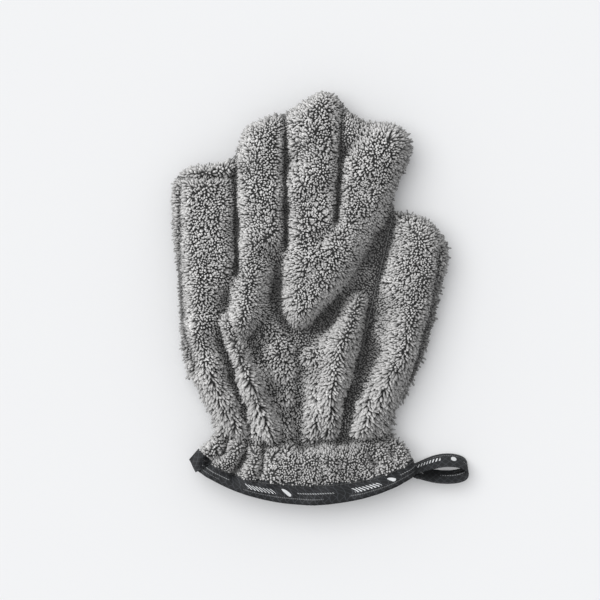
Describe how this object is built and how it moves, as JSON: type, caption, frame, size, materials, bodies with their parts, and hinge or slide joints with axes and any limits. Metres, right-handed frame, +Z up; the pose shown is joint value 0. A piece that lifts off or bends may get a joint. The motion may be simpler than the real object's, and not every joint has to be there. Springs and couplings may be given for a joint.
{
  "type": "wash mitt",
  "caption": "Hand-shaped plush wash mitt with finger channels, a thumb, a gathered elastic wrist, a flared tape-bound cuff and a hanging loop.",
  "frame": {"origin": "on the plane the mitt lies on, under the middle of the palm", "axes": "+Y to the fingertips, +X to the thumb's side, +Z up out of the palm face"},
  "size_m": [0.2036, 0.2795, 0.04],
  "materials": {
    "plush": "long-pile microfibre plush, mid grey",
    "tape": "woven charcoal binding tape",
    "thread": "matt spun thread",
    "elastic": "knitted white elastic"
  },
  "bodies": {
    "palm": {"front_panel_palm": "plush", "back_panel_palm": "plush", "perimeter_seam_palm": "thread", "thumb_crease_stitching": "thread", "wrist_elastic": "elastic", "elastic_stitching": "thread"},
    "knuckles": {"front_panel_knuckles": "plush", "back_panel_knuckles": "plush", "perimeter_seam_knuckles": "thread", "division_stitching_knuckles": "thread"},
    "fingertips": {"front_panel_fingertips": "plush", "back_panel_fingertips": "plush", "perimeter_seam_fingertips": "thread", "division_stitching_fingertips": "thread"},
    "thumb": {"front_panel_thumb": "plush", "back_panel_thumb": "plush", "perimeter_seam_thumb": "thread"},
    "cuff": {"front_panel_cuff": "plush", "back_panel_cuff": "plush", "perimeter_seam_cuff": "thread", "cuff_binding": "tape", "binding_stitching": "thread", "loop_tail": "tape", "loop_bartack": "thread"},
    "loop": {"hanging_loop": "tape"}
  },
  "joints": [
    {"name": "knuckle_fold", "type": "hinge", "parent": "palm", "child": "knuckles", "pos_m": [0.0605, 0.086, 0.018], "axis": [0.9532, 0.3024, 0], "range_deg": [0, 50]},
    {"name": "finger_curl", "type": "hinge", "parent": "knuckles", "child": "fingertips", "pos_m": [0.0472, 0.12794, 0.018], "axis": [0.9532, 0.3024, 0], "range_deg": [0, 60]},
    {"name": "thumb_fold", "type": "hinge", "parent": "palm", "child": "thumb", "pos_m": [0.0605, 0.086, 0.0155], "axis": [-0.2181, -0.9759, 0], "range_deg": [0, 35]},
    {"name": "cuff_fold", "type": "hinge", "parent": "palm", "child": "cuff", "pos_m": [0, -0.062, 0.0155], "axis": [-1, 0, 0], "range_deg": [0, 45]},
    {"name": "loop_swing", "type": "hinge", "parent": "cuff", "child": "loop", "pos_m": [0.0795, -0.087, 0.0075], "axis": [0, 0, 1], "range_deg": [-60, 60]}
  ]
}
